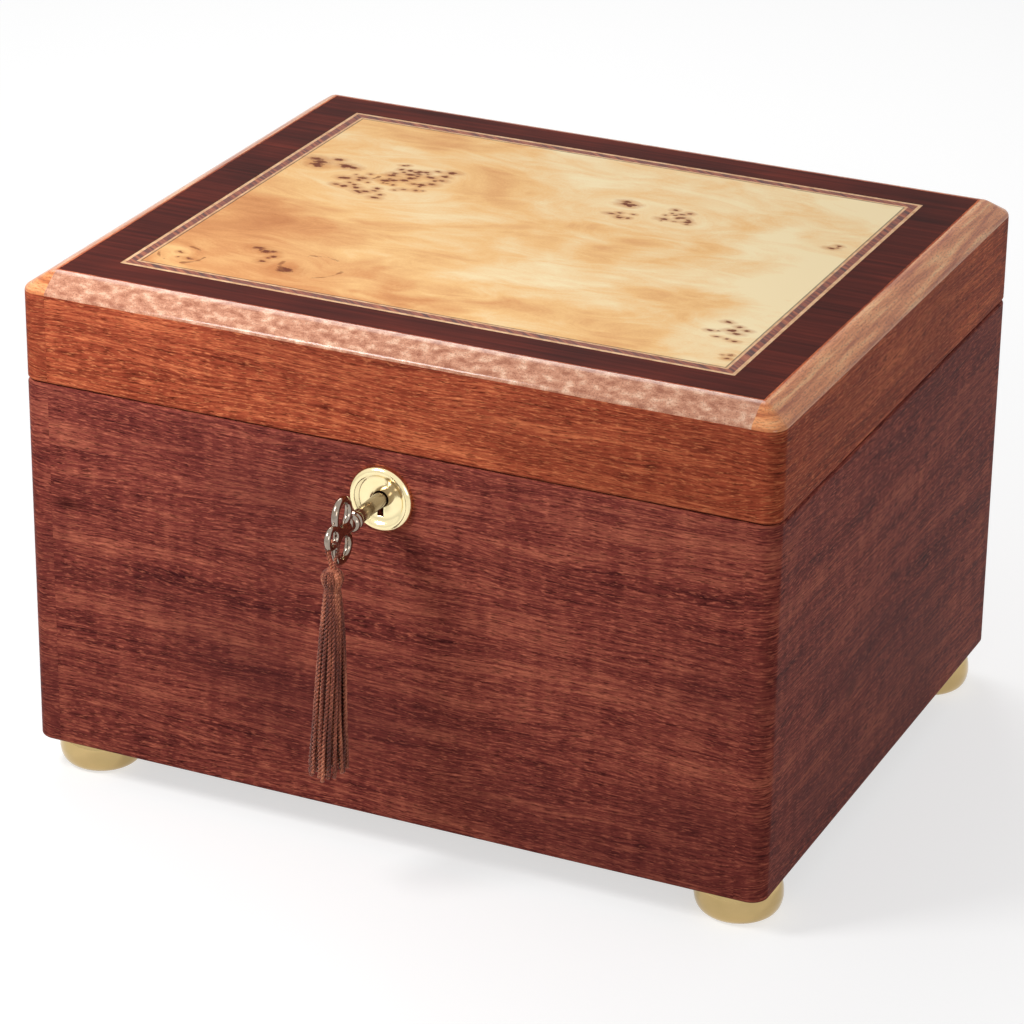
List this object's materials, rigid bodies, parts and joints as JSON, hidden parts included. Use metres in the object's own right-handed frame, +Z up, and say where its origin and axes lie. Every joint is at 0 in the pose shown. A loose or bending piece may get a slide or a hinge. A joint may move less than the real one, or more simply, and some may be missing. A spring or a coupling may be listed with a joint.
{
  "type": "cylinder music box",
  "caption": "Wooden chest on turned feet with an inlaid hinged lid, box lock with key and tassel, and a lever-wound cylinder movement under glass.",
  "frame": {"origin": "on the table under the middle of the case", "axes": "+X to the right of the case, +Y to the back, +Z up"},
  "size_m": [0.3, 0.2968, 0.205],
  "materials": {
    "mahogany_case": "glossy red-brown veneer",
    "mahogany_lid": "glossy red-brown veneer",
    "dark_border": "glossy near-black brown veneer",
    "pale_string": "glossy pale stringing",
    "red_band": "glossy red-brown banding",
    "burl": "glossy golden burl veneer",
    "plain_wood": "oiled plain wood",
    "inner_wood": "satin wood",
    "lining": "dark red velvet",
    "glass": "clear glass",
    "polished_brass": "polished brass",
    "movement_brass": "satin brass",
    "steel": "brushed steel",
    "blued_steel": "blued steel",
    "key_metal": "polished dark nickel",
    "tassel_cord": "brown twisted cord",
    "ebonised_wood": "polished black wood"
  },
  "bodies": {
    "root": {"case_front": "mahogany_case", "case_back": "mahogany_case", "case_left": "mahogany_case", "case_right": "mahogany_case", "case_posts": "mahogany_case", "case_bottom": "plain_wood", "feet": "polished_brass", "foot_screws": "steel", "deck": "inner_wood", "deck_battens": "plain_wood", "partition_left": "inner_wood", "partition_right": "inner_wood", "glass_frame": "inner_wood", "glass_pane": "glass", "hinge_case_leaves": "polished_brass", "hinge_pins": "steel", "lock_case": "polished_brass", "escutcheon": "polished_brass", "bedplate": "movement_brass", "movement_screws": "blued_steel", "left_cock": "movement_brass", "right_cock": "movement_brass", "barrel_bracket": "movement_brass", "comb_base": "movement_brass", "comb": "steel", "governor_plate": "movement_brass", "governor_cock": "movement_brass", "lever_bush": "movement_brass"},
    "lid": {"lid_front": "mahogany_lid", "lid_back": "mahogany_lid", "lid_left": "mahogany_lid", "lid_right": "mahogany_lid", "lid_corners": "mahogany_lid", "lid_board": "plain_wood", "border_veneer": "dark_border", "outer_string": "pale_string", "inlay_band": "red_band", "inner_string": "pale_string", "burl_panel": "burl", "lid_lining": "lining", "hinge_lid_leaves": "polished_brass", "strike_plate": "polished_brass"},
    "lock_bolt": {"lock_bolt": "steel"},
    "key": {"key": "key_metal"},
    "tassel_loop": {"tassel_loop": "tassel_cord"},
    "tassel": {"tassel_head": "tassel_cord", "tassel_skirt": "tassel_cord"},
    "cylinder": {"cylinder": "movement_brass", "cylinder_pins": "steel", "cylinder_arbor": "steel", "great_wheel": "movement_brass"},
    "spring_barrel": {"spring_barrel": "movement_brass", "mainspring": "blued_steel"},
    "governor_wheel_1": {"governor_wheel_1": "movement_brass"},
    "governor_wheel_2": {"governor_wheel_2": "movement_brass"},
    "worm_fan": {"worm_fan": "steel"},
    "winding_lever": {"winding_arbor": "steel", "winding_lever": "steel", "winding_knob": "ebonised_wood"},
    "play_lever": {"play_lever": "steel"}
  },
  "joints": [
    {"name": "lid_hinge", "type": "hinge", "parent": "root", "child": "lid", "pos_m": [0, 0.1251, 0.16325], "axis": [-1, 0, 0], "range_deg": [0, 100]},
    {"name": "key_turn", "type": "hinge", "parent": "root", "child": "key", "pos_m": [-0.001, -0.1225, 0.145], "axis": [0, 1, 0], "range_deg": [-2, 92]},
    {"name": "bolt_slide", "type": "slide", "parent": "root", "child": "lock_bolt", "axis": [-1, 0, 0], "range_m": [0, 0.005]},
    {"name": "tassel_plumb", "type": "hinge", "parent": "key", "child": "tassel_loop", "pos_m": [-0.001, -0.1615, 0.145], "axis": [0, 1, 0], "range_deg": [-92, 2], "deforming": ["tassel_loop"]},
    {"name": "tassel_swing", "type": "hinge", "parent": "tassel_loop", "child": "tassel", "pos_m": [-0.001, -0.1615, 0.1351], "axis": [-1, 0, 0], "range_deg": [-5, 60]},
    {"name": "cylinder_turn", "type": "hinge", "parent": "root", "child": "cylinder", "pos_m": [0, 0.004, 0.109], "axis": [1, 0, 0], "continuous": true},
    {"name": "barrel_turn", "type": "hinge", "parent": "root", "child": "spring_barrel", "pos_m": [-0.07, 0.04, 0.109], "axis": [1, 0, 0], "continuous": true},
    {"name": "governor_1_turn", "type": "hinge", "parent": "root", "child": "governor_wheel_1", "pos_m": [0.082, 0.02718, 0.10279], "axis": [1, 0, 0], "continuous": true},
    {"name": "governor_2_turn", "type": "hinge", "parent": "root", "child": "governor_wheel_2", "pos_m": [0.082, 0.04128, 0.10792], "axis": [1, 0, 0], "continuous": true},
    {"name": "fan_turn", "type": "hinge", "parent": "root", "child": "worm_fan", "pos_m": [0.0865, 0.04888, 0.10792], "axis": [0, 0, 1], "continuous": true},
    {"name": "winding_turn", "type": "hinge", "parent": "root", "child": "winding_lever", "pos_m": [-0.104, 0.04, 0.109], "axis": [-1, 0, 0], "range_deg": [0, 60]},
    {"name": "play_turn", "type": "hinge", "parent": "root", "child": "play_lever", "pos_m": [0.101, 0.012, 0.131], "axis": [-1, 0, 0], "range_deg": [0, 25]}
  ],
  "couplings": [
    {"joint": "key_turn", "follows": "bolt_slide", "rad_per_m": 314.16},
    {"joint": "tassel_plumb", "follows": "bolt_slide", "rad_per_m": -314.16},
    {"joint": "barrel_turn", "follows": "cylinder_turn", "ratio": -0.2},
    {"joint": "governor_1_turn", "follows": "cylinder_turn", "ratio": -5},
    {"joint": "governor_2_turn", "follows": "cylinder_turn", "ratio": 20},
    {"joint": "fan_turn", "follows": "cylinder_turn", "ratio": 240}
  ]
}
